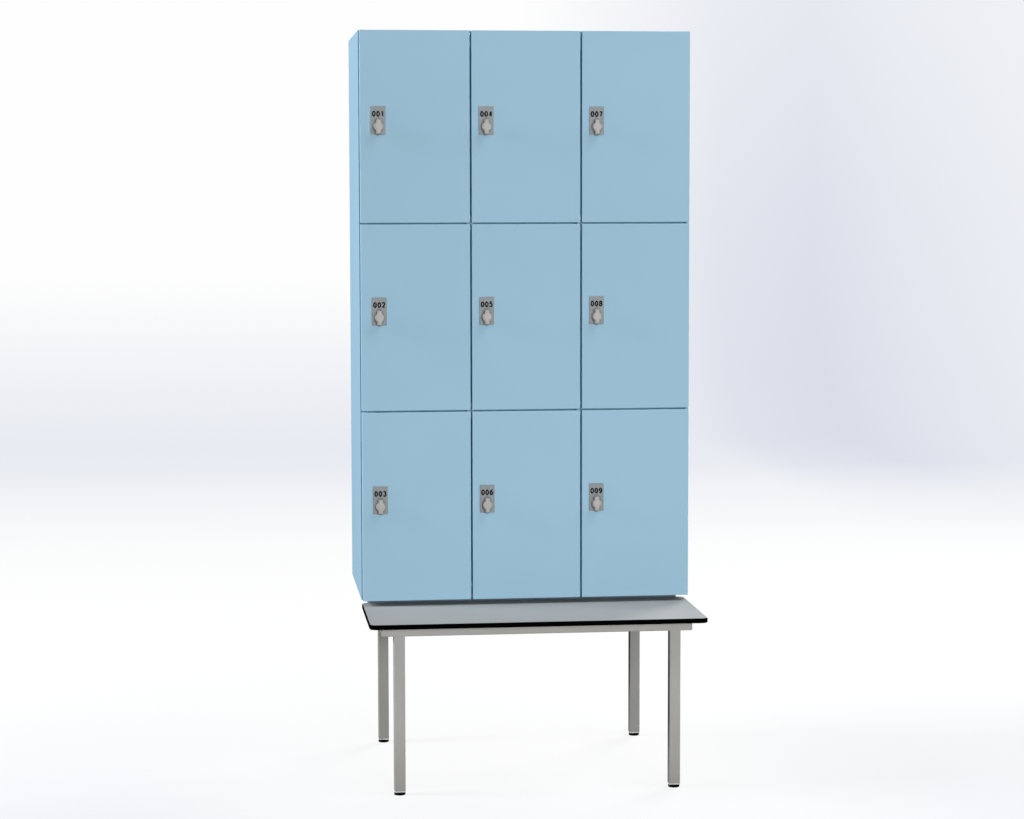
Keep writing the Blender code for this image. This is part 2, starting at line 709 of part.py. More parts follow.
def build_frame():
    """Mitred rails, cross rail and legs, welded into one piece and hollow throughout."""
    middle_y = (FRAME_FRONT_Y + FRAME_BACK_Y) / 2
    inner_width, inner_depth = FRAME_WIDTH - 2 * TUBE_WIDTH, FRAME_DEPTH - 2 * TUBE_WIDTH
    wall = 2 * TUBE_WALL
    at_rails = Matrix.Translation((0, middle_y, RAIL_MIDDLE))
    outlines = [rectangle(FRAME_WIDTH, FRAME_DEPTH), rectangle(inner_width, inner_depth)]
    ring = flat_mesh(outlines, RAIL_SECTION, TUBE_CORNER_RADIUS, at_rails)
    outlines = [
        rectangle(FRAME_WIDTH - wall, FRAME_DEPTH - wall),
        rectangle(inner_width + wall, inner_depth + wall),
    ]
    bores = [flat_mesh(outlines, RAIL_SECTION - wall, place=at_rails)]

    cross_y = DOOR_FACE_Y + CROSS_RAIL_SETBACK + TUBE_WIDTH / 2
    along_x = Matrix.Rotation(pi / 2, 4, "Z") @ Matrix.Rotation(pi / 2, 4, "X")
    at_cross = Matrix.Translation((0, cross_y, RAIL_MIDDLE)) @ along_x
    cross_height = RAIL_SECTION - 2 * WELD_STEP
    section = rounded_rectangle(TUBE_WIDTH, cross_height, TUBE_CORNER_RADIUS)
    cross = flat_mesh([section], FRAME_WIDTH - TUBE_WIDTH, place=at_cross)
    section = rectangle(TUBE_WIDTH - wall, cross_height - wall)
    bores.append(flat_mesh([section], inner_width, place=at_cross))

    vents = []
    for side in (-1, 1):
        start = (side * (inner_width / 2 - OVERRUN), cross_y, RAIL_MIDDLE)
        stop = (side * (inner_width / 2 + TUBE_WIDTH / 2), cross_y, RAIL_MIDDLE)
        vents.append(rod_mesh(start, stop, VENT_RADIUS, PIN_SIDES))

    legs = []
    outer = rounded_rectangle(LEG_WIDTH, LEG_WIDTH, TUBE_CORNER_RADIUS)
    inner = rectangle(LEG_WIDTH - wall, LEG_WIDTH - wall)
    for x, y in leg_places().values():
        height = RAIL_MIDDLE - leg_bottom()
        place = Matrix.Translation((x, y, leg_bottom() + height / 2))
        legs.append(flat_mesh([outer], height, place=place))
        ceiling = UNDER_RAIL_HEIGHT - WELD_STEP
        height = ceiling - leg_bottom() + OVERRUN
        place = Matrix.Translation((x, y, ceiling - height / 2))
        bores.append(flat_mesh([inner], height, place=place))
        start, stop = (x, y, UNDER_RAIL_HEIGHT - OVERRUN), (x, y, RAIL_MIDDLE)
        vents.append(rod_mesh(start, stop, VENT_RADIUS, PIN_SIDES))
    mesh = combined_mesh(ring, [cross, *legs], [gathered(bores), gathered(vents)])
    add_piece("bench_frame", mesh, "tube")


def foot_mesh():
    """A round glide with its stem, turned about Z."""
    stem_top = FOOT_HEIGHT + FOOT_STEM_LENGTH
    profile = [
        (0, stem_top),
        (FOOT_STEM_RADIUS, stem_top),
        (FOOT_STEM_RADIUS, FOOT_HEIGHT),
        (FOOT_RADIUS - FOOT_EDGE, FOOT_HEIGHT),
        (FOOT_RADIUS, FOOT_HEIGHT - FOOT_EDGE),
        (FOOT_RADIUS, FOOT_EDGE),
        (FOOT_RADIUS - FOOT_EDGE, 0),
        (0, 0),
    ]
    bm = bmesh.new()
    points = [bm.verts.new((radius, 0, height)) for radius, height in profile]
    for first, second in zip(points, points[1:]):
        bm.edges.new((first, second))
    drawn = add_helper("foot_profile", mesh_from(bm))
    screw = drawn.modifiers.new("turned", "SCREW")
    screw.steps = FOOT_STEPS
    screw.render_steps = FOOT_STEPS
    screw.use_merge_vertices = True
    screw.merge_threshold = WELD_DISTANCE
    mesh = finished_mesh(drawn)
    bpy.data.objects.remove(drawn, do_unlink=True)
    return mesh


def plug_mesh():
    """End plug of a leg: a flange level with the tube, and a body inside it."""
    half = LEG_WIDTH / 2
    low = FOOT_HEIGHT + FIT_GAP
    flange = box_mesh((-half, -half, low), (half, half, low + PLUG_FLANGE))
    half -= TUBE_WALL + FIT_GAP
    body_low = low + PLUG_FLANGE / 2
    body = box_mesh((-half, -half, body_low), (half, half, low + PLUG_FLANGE + PLUG_DEPTH))
    stem_end = FOOT_HEIGHT + FOOT_STEM_LENGTH + PIN_END_PLAY
    hole_radius = FOOT_STEM_RADIUS + FOOT_STEM_PLAY
    hole = rod_mesh((0, 0, low - OVERRUN), (0, 0, stem_end), hole_radius, FOOT_STEPS)
    return combined_mesh(flange, [body], [hole], PLUG_EDGE_RADIUS)


def build_feet():
    foot, plug = foot_mesh(), plug_mesh()
    for name, (x, y) in leg_places().items():
        add_piece(f"foot_{name}", foot, "rubber", (x, y, 0))
        add_piece(f"leg_plug_{name}", plug, "plug", (x, y, 0))


def build_plinth():
    """A glued frame of four boards."""
    front = DOOR_FACE_Y + PLINTH_FRONT_SETBACK
    depth = BACK_Y - PLINTH_BACK_SETBACK - front
    boards = 2 * PLINTH_THICKNESS
    outlines = [rectangle(PLINTH_WIDTH, depth), rectangle(PLINTH_WIDTH - boards, depth - boards)]
    height = PLINTH_HEIGHT - FIT_GAP
    mesh = flat_mesh(outlines, height, PANEL_EDGE_RADIUS)
    add_piece("plinth", mesh, "laminate", (0, front + depth / 2, FRAME_TOP + height / 2))


def build():
    build_carcass()
    for column in range(COLUMNS):
        for level in range(ROWS + 1):
            build_hinge(column, level)
    plate_mesh, knob_mesh = lock_plate(), turn_knob()
    for bay in BAYS:
        build_door(bay, plate_mesh, knob_mesh)
    build_seat()
    build_frame()
    build_feet()
    build_plinth()


build()
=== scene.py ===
"""Looks of the changing-room locker with a bench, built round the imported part. Metres, +Z up."""

from math import atan2, cos, pi, radians, sin, sqrt

import bmesh
import bpy
from mathutils import Matrix, Vector


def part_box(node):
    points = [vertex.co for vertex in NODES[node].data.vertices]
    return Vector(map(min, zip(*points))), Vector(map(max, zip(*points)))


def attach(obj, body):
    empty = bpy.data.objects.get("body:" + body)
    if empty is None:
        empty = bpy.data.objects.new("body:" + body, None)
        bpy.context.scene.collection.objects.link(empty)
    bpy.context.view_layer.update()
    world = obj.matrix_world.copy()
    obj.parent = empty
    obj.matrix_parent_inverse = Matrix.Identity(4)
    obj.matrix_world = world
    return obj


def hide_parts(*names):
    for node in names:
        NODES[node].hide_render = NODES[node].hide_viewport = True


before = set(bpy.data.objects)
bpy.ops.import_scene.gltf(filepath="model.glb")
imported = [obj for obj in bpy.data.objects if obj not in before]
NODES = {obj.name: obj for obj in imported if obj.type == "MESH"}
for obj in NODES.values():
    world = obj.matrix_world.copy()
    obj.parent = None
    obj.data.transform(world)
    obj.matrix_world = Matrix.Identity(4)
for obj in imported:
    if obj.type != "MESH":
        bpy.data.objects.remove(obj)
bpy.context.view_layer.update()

# Camera of the photograph: angles in radians, lens and sensor in millimetres
CAMERA_PLACE = (-0.831618, -6.918228, 1.583813)
CAMERA_YAW = 0.115657
CAMERA_PITCH = -0.085244
CAMERA_ROLL = -0.001911
LENS = 89.19
SENSOR = 36
CLIP_END = 60

# Plan of the part
COLUMN_NAMES = ("left", "middle", "right")
HINGE_LEVELS = ("top", "upper", "lower", "bottom")
CORNERS = ("front_left", "front_right", "rear_left", "rear_right")
ROWS = 3
DOORS = len(COLUMN_NAMES) * ROWS


def depths(node):
    """Where a node of the part begins and ends along Y."""
    low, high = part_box(node)
    return low.y, high.y


# Places read from the part: all doors and locks lie equally deep, and a leg is as wide as its plug
DOOR_FRONT_Y, DOOR_REAR_Y = depths("door_1")
PLATE_FRONT_Y, BARREL_END_Y = depths("lock_plate_1")
KNOB_FRONT_Y, SPINDLE_END_Y = depths("knob_1")
CARCASS_Y = depths("partition_left")[0]
PLUG_LOW, PLUG_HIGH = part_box("leg_plug_front_right")
LEG_X = (PLUG_LOW.x + PLUG_HIGH.x) / 2
LEG_HALF_WIDTH = (PLUG_HIGH.x - PLUG_LOW.x) / 2

# Sizes that the looks share with the part. The fit gap is left between pieces that seat on each other.
FIT_GAP = 0.0003
PLATE_TOP_ABOVE_SPINDLE = 0.0545
KNOB_BASE_Y = PLATE_FRONT_Y - FIT_GAP
KNOB_DISC_RADIUS = 0.0125
KNOB_BAR_HALF_WIDTH = 0.006
KNOB_BAR_HALF_LENGTH = 0.0195
KNOB_FILLET = 0.002
FLANGE_THICKNESS = 0.0025
FLANGE_WIDTH = 0.027
FLANGE_LENGTH = 0.047
SPINDLE_RADIUS = 0.004
CAM_FRONT_Y = BARREL_END_Y + FIT_GAP
CAM_THICKNESS = 0.0025
CAM_REACH = 0.038
CAM_HALF_WIDTH = 0.007
CAM_HUB_RADIUS = 0.009
BARREL_RADIUS = 0.0095
HINGE_PLATE_HALF_WIDTH = 0.007
RAIL_WIDTH = 0.030
RAIL_UNDERSIDE = 0.424
CROSS_RAIL_SETBACK = 0.0565
CROSS_RAIL_Y = DOOR_FRONT_Y + CROSS_RAIL_SETBACK + RAIL_WIDTH / 2

# Small parts and roundings that only the looks have. They stand off what they sit on by a touch.
TOUCH = 0.00005
GRIP_EDGE = 0.001
GRIP_DRAFT = 0.0003
GRIP_CROWN = 0.0005
GRIP_END_SHARE = 0.3
GRIP_CROWN_SHARE = 0.9
FLANGE_EDGE = 0.0006
SPINDLE_CHAMFER_SHARE = 0.15
WASHER_RADIUS = 0.0068
WASHER_THICKNESS = 0.0009
BOLT_ACROSS = 0.010
BOLT_HEIGHT = 0.0034
BARREL_NUT_ACROSS = 0.024
BARREL_NUT_HEIGHT = 0.004
HINGE_SCREW_RADIUS = 0.0033
HINGE_SCREW_RISE = 0.0003
HINGE_SCREW_SPREAD = 0.014
SCREW_RECESS_WIDTH_SHARE = 0.15
HEX_SIDE_SHARE = 0.8
FRAME_BOLT_OFFSET = 0.22
FRAME_BOLT_ACROSS = 0.010
FRAME_BOLT_HEIGHT = 0.004
WELD_RADIUS = 0.0016
WELD_RIPPLE = 0.0022
WELD_RIPPLE_STEPS = 4
WELD_SIDES = 16
WELD_SWELL_SHARE = 0.13
WELD_END_SHARE = 0.55
GLIDE_HEIGHT = 0.008
GLIDE_STEM_RADIUS = 0.004

# Outlines in pairs: a share of the radius, or of the width across flats, and a share of the height
SCREW_CROWN_SHARES = ((1, 0), (1, 0.3), (0.86, 0.75), (0.62, 1))
SCREW_RECESS_SHARES = ((0.52, 1), (0.4, 0.25))
HEX_EASE_SHARES = ((0.52, 0.88), (0.47, 1))
GLIDE_SHARES = ((0.9, 0), (0.97, 0.0375), (1, 0.125), (1, 0.62), (0.97, 0.8), (0.9, 0.95), (0.84, 1))

# Numerals on the lock plates
NUMERAL_HEIGHT = 0.016
NUMERAL_WIDTH = 0.0103
NUMERAL_PITCH = 0.0115
NUMERAL_STROKE = 0.0038
NUMERAL_BELOW_PLATE_TOP = 0.0202
INK_THICKNESS = 0.00012

# Faces that meet at less than this angle are shaded as one
SMOOTH_ANGLE = radians(35)
# Too small a share to tell two points of a digit apart, or to divide by
TINY = 0.001
# Steps round a circle, an arc or a bow
ROUND_STEPS = 48
TURNED_STEPS = 32
BOW_STEPS = 20
CURVE_STEPS = 16
FILLET_STEPS = 6
EDGE_STEPS = 4


# Shading


class Shader:
    """The node tree of one material, with short calls for the nodes used here."""

    def __init__(self, name, **inputs):
        self.material = bpy.data.materials.new(name)
        self.material.use_nodes = True
        self.tree = self.material.node_tree
        self.surface = self.tree.nodes["Principled BSDF"]
        for socket, value in inputs.items():
            self.surface.inputs[socket.replace("_", " ")].default_value = value
        coordinates = self.node("ShaderNodeTexCoord")
        self.place = coordinates.outputs["Object"]
        self.facing = self.node("ShaderNodeSeparateXYZ")
        self.link(coordinates.outputs["Normal"], self.facing.inputs[0])

    def node(self, kind, **settings):
        made = self.tree.nodes.new(kind)
        for name, value in settings.items():
            setattr(made, name, value)
        return made

    def link(self, source, target):
        self.tree.links.new(source, target)

    def noise(self, scale, detail, stretch=(1, 1, 1)):
        """Noise with this many features in a metre, drawn out along an axis where stretch is small."""
        mapping = self.node("ShaderNodeMapping")
        mapping.inputs["Scale"].default_value = stretch
        self.link(self.place, mapping.inputs["Vector"])
        made = self.node("ShaderNodeTexNoise")
        made.inputs["Scale"].default_value = scale
        made.inputs["Detail"].default_value = detail
        self.link(mapping.outputs["Vector"], made.inputs["Vector"])
        return made.outputs["Fac"]

    def ramp(self, source, *stops):
        """Turns a value into the colours or shares in stops, each a place and what stands there."""
        made = self.node("ShaderNodeValToRGB")
        elements = made.color_ramp.elements
        while len(elements) < len(stops):
            elements.new(0.5)
        for element, (place, value) in zip(elements, stops):
            element.position = place
            element.color = (*value, 1) if isinstance(value, tuple) else (value, value, value, 1)
        self.link(source, made.inputs["Fac"])
        return made.outputs["Color"]

    def mix(self, share, first, second, blend="MIX"):
        """Blends two colours. Each argument is an output, a colour or a number."""
        made = self.node("ShaderNodeMix", data_type="RGBA", blend_type=blend)
        self.feed(share, made.inputs[0])
        self.feed(first, made.inputs[6])
        self.feed(second, made.inputs[7])
        return made.outputs[2]

    def maths(self, operation, first, second=0.0):
        made = self.node("ShaderNodeMath", operation=operation)
        self.feed(first, made.inputs[0])
        self.feed(second, made.inputs[1])
        return made.outputs["Value"]

    def feed(self, value, target):
        if isinstance(value, bpy.types.NodeSocket):
            self.link(value, target)
        elif isinstance(value, tuple):
            target.default_value = (*value, 1)
        else:
            target.default_value = value

    def bump(self, height, distance):
        made = self.node("ShaderNodeBump")
        made.inputs["Distance"].default_value = distance
        made.inputs["Strength"].default_value = 1.0
        self.link(height, made.inputs["Height"])
        return made.outputs["Normal"]

    def edges(self, radius):
        """About 0 on flat faces, rising to 1 along edges."""
        rounded = self.node("ShaderNodeBevel", samples=6)
        rounded.inputs["Radius"].default_value = radius
        flat = self.node("ShaderNodeNewGeometry").outputs["Normal"]
        made = self.node("ShaderNodeVectorMath", operation="DOT_PRODUCT")
        self.link(rounded.outputs["Normal"], made.inputs[0])
        self.link(flat, made.inputs[1])
        return self.maths("SUBTRACT", 1.0, made.outputs["Value"])

    def cloudy(self, cloud, colour, darkest, lightest):
        """The colour, from a little darker to a little lighter as the cloud goes."""
        return self.ramp(cloud, (0.3, shade(colour, darkest)), (0.7, shade(colour, lightest)))

    def worn(self, tone, radius, least, most, lighter):
        """Rubs a tone lighter along edges. Least and most pair a value of edges with the share rubbed."""
        return self.mix(self.ramp(self.edges(radius), least, most), tone, lighter)

    def finish(self, colour, roughness, normal):
        self.link(colour, self.surface.inputs["Base Color"])
        self.link(roughness, self.surface.inputs["Roughness"])
        self.link(normal, self.surface.inputs["Normal"])
        return self.material


def shade(colour, share):
    return tuple(channel * share for channel in colour)


# How deep the grain of each finish is, and how far in from an edge it is rubbed
MELAMINE_GRAIN = 0.00004
MELAMINE_RUB = 0.0012
COMPACT_GRAIN = 0.00005
COAT_PEEL = 0.00008
COAT_RUB = 0.0015
METAL_GRAIN = 0.00002
METAL_RUB = 0.0007
MOULDED_GRAIN = 0.00004
MOULDED_RUB = 0.0008
# Least part of a normal along an axis for its face to look that way
FACING = 0.8
LEVEL_FACING = 0.9


def melamine(name, colour, banding_with_painted_light, faces_front):
    """Melamine with a fine pearl grain. Banding is round a door, or on a board's front edge; its colour
    paints light on the doors' edges and shade on the carcass and plinth fronts.
    """
    shader = Shader(name, Specular_IOR_Level=0.0)
    pearl = shader.noise(1500, 3)
    tone = shader.cloudy(shader.noise(3, 2), colour, 0.985, 1.012)
    grain = shader.ramp(pearl, (0.35, 0.97), (0.65, 1.0))
    tone = shader.mix(1.0, tone, grain, "MULTIPLY")
    ahead = shader.facing.outputs["Y"]
    if faces_front:
        edge = shader.maths("LESS_THAN", shader.maths("ABSOLUTE", ahead), FACING)
    else:
        edge = shader.maths("LESS_THAN", ahead, -FACING)
    tone = shader.mix(edge, tone, banding_with_painted_light)
    tone = shader.worn(tone, MELAMINE_RUB, (0.03, 0.0), (0.3, 0.22), shade(colour, 1.25))
    scuff = shader.noise(40, 4, (1, 1, 0.3))
    polish = shader.ramp(scuff, (0.35, 0.4), (0.65, 0.49))
    return shader.finish(tone, polish, shader.bump(pearl, MELAMINE_GRAIN))


def compact_laminate(name, colour, core):
    """Grey decor on the two faces, and the black core where the board is cut."""
    shader = Shader(name, Specular_IOR_Level=0.0)
    speckle = shader.noise(1100, 4)
    face = shader.cloudy(shader.noise(5, 3), colour, 0.975, 1.02)
    face = shader.mix(1.0, face, shader.ramp(speckle, (0.35, 0.93), (0.6, 1.0)), "MULTIPLY")
    layers = shader.noise(900, 2, (0.02, 0.02, 3))
    cut = shader.cloudy(layers, core, 0.7, 1.6)
    upward = shader.maths("ABSOLUTE", shader.facing.outputs["Z"])
    flat = shader.maths("GREATER_THAN", upward, LEVEL_FACING)
    tone = shader.mix(flat, cut, face)
    polish = shader.ramp(shader.noise(60, 4), (0.3, 0.55), (0.7, 0.66))
    height = shader.mix(flat, layers, speckle)
    return shader.finish(tone, polish, shader.bump(height, COMPACT_GRAIN))


def powder_coat(name, colour):
    """Powder coat with its orange peel, a little rubbed along the edges."""
    shader = Shader(name, Specular_IOR_Level=0.0)
    peel = shader.noise(420, 3)
    tone = shader.cloudy(shader.noise(8, 3), colour, 0.97, 1.03)
    tone = shader.worn(tone, COAT_RUB, (0.04, 0.0), (0.35, 0.3), shade(colour, 1.2))
    polish = shader.ramp(peel, (0.3, 0.36), (0.7, 0.48))
    return shader.finish(tone, polish, shader.bump(peel, COAT_PEEL))


def cast_metal(name, colour, metallic, roughness, streaks=(1, 1, 1)):
    """Satin metal: cloudy, finely grained, brighter where it is handled."""
    shader = Shader(name, Metallic=metallic)
    grain = shader.noise(2600, 3, streaks)
    cloud = shader.noise(90, 3)
    tone = shader.cloudy(cloud, colour, 0.94, 1.05)
    tone = shader.mix(1.0, tone, shader.ramp(grain, (0.3, 0.93), (0.7, 1.0)), "MULTIPLY")
    tone = shader.worn(tone, METAL_RUB, (0.04, 0.0), (0.4, 0.35), shade(colour, 1.4))
    polish = shader.ramp(cloud, (0.3, roughness - 0.05), (0.7, roughness + 0.06))
    return shader.finish(tone, polish, shader.bump(grain, METAL_GRAIN))


def moulded(name, colour, roughness, specular=0.5):
    """Moulded plastic or rubber, and matt ink, with a fine grain."""
    shader = Shader(name, Specular_IOR_Level=specular)
    grain = shader.noise(1800, 3)
    tone = shader.cloudy(shader.noise(45, 3), colour, 0.88, 1.12)
    tone = shader.worn(tone, MOULDED_RUB, (0.05, 0.0), (0.4, 0.25), shade(colour, 1.7))
    polish = shader.ramp(grain, (0.3, roughness - 0.05), (0.7, roughness + 0.07))
    return shader.finish(tone, polish, shader.bump(grain, MOULDED_GRAIN))


# Colours
DOOR_BLUE = (0.363, 0.567, 0.708)
# Door edge banding is lighter than the face: partly its own colour, partly painted light on the doors'
# lit side edges
DOOR_BANDING_LIT = (0.39, 0.63, 0.79)
# Carcass front edges, seen in the gaps between doors, are much darker than the laminate: painted shade
CARCASS_FRONT_SHADE = (0.17, 0.34, 0.44)
# The plinth is the same blue laminate, darkened here as painted shade under the cabinet
PLINTH_SHADE_BLUE = (0.175, 0.23, 0.295)
PLINTH_FRONT_SHADE = (0.16, 0.21, 0.27)
HINGE_BLUE = (0.26, 0.45, 0.6)
SEAT_GREY = (0.435, 0.446, 0.446)
SEAT_CORE = (0.001, 0.001, 0.001)
TUBE_GREY = (0.413, 0.408, 0.386)
PLATE_GREY = (0.183, 0.204, 0.214)
GRIP_GREY = (0.302, 0.294, 0.284)
# Flange behind each grip, dark as painted shade round the knob
FLANGE_SHADE_GREY = (0.15, 0.155, 0.157)
STEEL_BLACK = (0.08, 0.11, 0.14)
BRIGHT_GREY = (0.4, 0.43, 0.46)
PLUG_GREY = (0.78, 0.78, 0.76)
RUBBER_BLACK = (0.002, 0.002, 0.002)
INK_BLACK = (0.003, 0.003, 0.003)

# Directions in which metal is brushed
BRUSHED_DEEP = (1, 0.1, 1)
BRUSHED_UPRIGHT = (1, 1, 0.08)

LEAF = melamine("door_laminate", DOOR_BLUE, DOOR_BANDING_LIT, faces_front=True)
BOARD = melamine("carcass_laminate_shaded_fronts", DOOR_BLUE, CARCASS_FRONT_SHADE, faces_front=False)
SHADED_PLINTH = melamine("plinth_painted_shade", PLINTH_SHADE_BLUE, PLINTH_FRONT_SHADE, faces_front=False)
HINGE = cast_metal("blue_passivated_zinc", HINGE_BLUE, 0.2, 0.6, BRUSHED_DEEP)
SEAT = compact_laminate("compact_laminate_grey", SEAT_GREY, SEAT_CORE)
TUBE = powder_coat("powder_coat_grey", TUBE_GREY)
ZINC = cast_metal("zinc_plate", PLATE_GREY, 0.2, 0.55, BRUSHED_UPRIGHT)
SILVER = cast_metal("silver_grip", GRIP_GREY, 0.2, 0.5)
SHADE_FLANGE = cast_metal("flange_painted_shade", FLANGE_SHADE_GREY, 0.2, 0.55)
STEEL = cast_metal("black_passivated_steel", STEEL_BLACK, 0.5, 0.5, BRUSHED_DEEP)
BRIGHT = cast_metal("bright_zinc", BRIGHT_GREY, 0.8, 0.4, BRUSHED_DEEP)
PLUG = moulded("plug_grey", PLUG_GREY, 0.45)
RUBBER = moulded("rubber_black", RUBBER_BLACK, 0.8, specular=0.05)
INK = moulded("ink_black", INK_BLACK, 0.7, specular=0.1)


def finish_of(node):
    """The material of a part's node, by its name."""
    for start, material in (
        ("bench_seat", SEAT),
        ("bench_frame", TUBE),
        ("lock_plate", ZINC),
        ("knob", SILVER),
        ("hinge", HINGE),
        ("door", LEAF),
        ("plinth", SHADED_PLINTH),
        ("leg_plug", PLUG),
        ("foot", RUBBER),
    ):
        if node.startswith(start):
            return material
    return BOARD


for node, piece in NODES.items():
    for slot in piece.material_slots:
        slot.material = finish_of(node)


# Shapes


def add_piece(name, bm, material, body):
    """Adds a mesh, drawn in the row frame, as a piece that moves with a body."""
    mesh = bpy.data.meshes.new(name)
    bm.to_mesh(mesh)
    bm.free()
    mesh.shade_smooth()
    mesh.set_sharp_from_angle(angle=SMOOTH_ANGLE)
    mesh.materials.append(material)
    piece = bpy.data.objects.new(name, mesh)
    bpy.context.scene.collection.objects.link(piece)
    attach(piece, body)
    return piece


def arc(centre, radius, start, end, steps):
    """Points on an arc, angles in radians, both ends included."""
    turn = (end - start) / steps
    angles = [start + turn * step for step in range(steps + 1)]
    return [(centre[0] + radius * cos(a), centre[1] + radius * sin(a)) for a in angles]


def loft(bm, rings, bored=False):
    """Skins rings of as many points each. Both ends are closed, or joined round a bore."""
    made = [[bm.verts.new(point) for point in ring] for ring in rings]
    pairs = list(zip(made, made[1:]))
    if bored:
        pairs.append((made[-1], made[0]))
    for first, second in pairs:
        for i in range(len(first)):
            j = (i + 1) % len(first)
            bm.faces.new((first[i], first[j], second[j], second[i]))
    if not bored:
        bm.faces.new(made[0])
        bm.faces.new(made[-1])
    bmesh.ops.recalc_face_normals(bm, faces=bm.faces)
    return bm


def turned(bm, centre, profile, steps=TURNED_STEPS, axis="Y"):
    """A round form about an axis through a point, from pairs of radius and place along the axis."""
    rings = []
    for radius, along in profile:
        ring = []
        for x, y in arc((0, 0), radius, 0, 2 * pi, steps)[:-1]:
            point = (x, along, y) if axis == "Y" else (x, y, along)
            ring.append(Vector(centre) + Vector(point))
        rings.append(ring)
    return loft(bm, rings)


def around(reach, steps=ROUND_STEPS):
    """Points round the origin, as far out at each angle as reach says."""
    angles = [2 * pi * step / steps for step in range(steps)]
    return [(reach(a) * cos(a), reach(a) * sin(a)) for a in angles]


def hexagon(across):
    """How far a hexagon with this width across its flats reaches at an angle."""
    return lambda a: across / 2 / cos((a + pi / 6) % (pi / 3) - pi / 6)


def cross(arm, half_width):
    """How far a cross reaches at an angle."""

    def reach(a):
        x, y = max(abs(cos(a)), TINY), max(abs(sin(a)), TINY)
        return max(min(arm / x, half_width / y), min(half_width / x, arm / y))

    return reach


def placed(points, height, place):
    """Flat points lifted to a height along Z, and then put in their place."""
    return [place @ Vector((x, y, height)) for x, y in points]


def screw_head(bm, place, radius, height):
    """A raised head with a cross recess. Its back lies in the XY plane of its place."""
    rings = []
    for share, rise in SCREW_CROWN_SHARES:
        rings.append(placed(around(lambda a: radius * share), height * rise, place))
    for arm, rise in SCREW_RECESS_SHARES:
        points = around(cross(radius * arm, radius * SCREW_RECESS_WIDTH_SHARE))
        rings.append(placed(points, height * rise, place))
    loft(bm, rings)


def hex_head(bm, place, across, height, bore=0):
    """A hexagon with a chamfered face: the head of a bolt, or a nut where it has a bore."""
    outer = hexagon(across)
    points = around(outer)
    rings = [placed(points, 0, place), placed(points, height * HEX_SIDE_SHARE, place)]
    for share, rise in HEX_EASE_SHARES:
        eased = around(lambda a: min(outer(a), across * share))
        rings.append(placed(eased, height * rise, place))
    if bore:
        hole = around(lambda a: bore)
        rings += [placed(hole, height, place), placed(hole, 0, place)]
    loft(bm, rings, bored=bool(bore))


# Locks: grips, flanges, spindles, cams and numerals


def grip_outline(inset):
    """Bar and disc rounded into each other, drawn this far inside their full outline."""
    half_width, half_length = KNOB_BAR_HALF_WIDTH - inset, KNOB_BAR_HALF_LENGTH - inset
    disc, fillet = KNOB_DISC_RADIUS - inset, KNOB_FILLET + inset
    centre_x = half_width + fillet
    centre_y = sqrt((disc + fillet) ** 2 - centre_x**2)
    turn = atan2(centre_y, centre_x)
    rounding = half_width * GRIP_END_SHARE
    corner = arc((half_width - rounding, half_length - rounding), rounding, pi / 2, 0, EDGE_STEPS)
    corner += arc((centre_x, centre_y), fillet, pi, pi + turn, FILLET_STEPS)
    corner += arc((0, 0), disc, turn, 0, FILLET_STEPS)[1:]
    right = corner + [(x, -y) for x, y in reversed(corner[:-1])]
    return right + [(-x, y) for x, y in reversed(right)]


def standing(outline, place, y):
    """An outline drawn round a lock's spindle, standing in front of the door at this y."""
    return [(place.x + x, y, place.z + z) for x, z in outline]


def grip_mesh(place):
    """From the flange forward: a slight draft, a rounded edge, a softly crowned face."""
    start = KNOB_BASE_Y - FLANGE_THICKNESS
    edge_y = KNOB_FRONT_Y + GRIP_CROWN + GRIP_EDGE
    sections = [(0, start), (GRIP_DRAFT / 2, (start + edge_y) / 2)]
    for step in range(EDGE_STEPS + 1):
        angle = step / EDGE_STEPS * pi / 2
        inset = GRIP_DRAFT + GRIP_EDGE * (1 - cos(angle))
        sections.append((inset, edge_y - GRIP_EDGE * sin(angle)))
    outer = GRIP_DRAFT + GRIP_EDGE
    inner = KNOB_BAR_HALF_WIDTH * GRIP_CROWN_SHARE
    for step in range(1, EDGE_STEPS + 1):
        share = step / EDGE_STEPS
        crown = KNOB_FRONT_Y + GRIP_CROWN * (1 - share) ** 2
        sections.append((outer + (inner - outer) * share, crown))
    return loft(bmesh.new(), [standing(grip_outline(inset), place, y) for inset, y in sections])


def flange_mesh(place):
    """The oval that the grip stands on. Its dark finish is painted shade round the grip."""
    rings = []
    front = KNOB_BASE_Y - FLANGE_THICKNESS
    for inset, y in ((0, KNOB_BASE_Y), (0, front + FLANGE_EDGE), (FLANGE_EDGE, front)):
        stretch = (FLANGE_LENGTH - 2 * inset) / (FLANGE_WIDTH - 2 * inset)
        circle = arc((0, 0), FLANGE_WIDTH / 2 - inset, 0, 2 * pi, ROUND_STEPS)[:-1]
        rings.append(standing([(x, z * stretch) for x, z in circle], place, y))
    return loft(bmesh.new(), rings)


def cam_mesh(place):
    """The cam hangs down from its hub, as in the part."""
    outline = arc((0, 0), CAM_HUB_RADIUS, 0, pi, CURVE_STEPS)
    outline += arc((0, CAM_HALF_WIDTH - CAM_REACH), CAM_HALF_WIDTH, pi, 2 * pi, CURVE_STEPS)
    rear = CAM_FRONT_Y + CAM_THICKNESS
    return loft(bmesh.new(), [standing(outline, place, y) for y in (CAM_FRONT_Y, rear)])


def spindle_mesh(place):
    """The spindle, chamfered at its rear end and reaching through the flange."""
    chamfer = SPINDLE_RADIUS * SPINDLE_CHAMFER_SHARE
    profile = [
        (SPINDLE_RADIUS - chamfer, SPINDLE_END_Y),
        (SPINDLE_RADIUS, SPINDLE_END_Y - chamfer),
        (SPINDLE_RADIUS, KNOB_BASE_Y - FLANGE_THICKNESS),
    ]
    return turned(bmesh.new(), (place.x, 0, place.z), profile)


def bow(centre, half_width, half_height, start, end, steps=BOW_STEPS):
    """Points on an ellipse from one angle in degrees to another."""
    angles = [radians(start + (end - start) * step / steps) for step in range(steps + 1)]
    return [(centre[0] + half_width * cos(a), centre[1] + half_height * sin(a)) for a in angles]


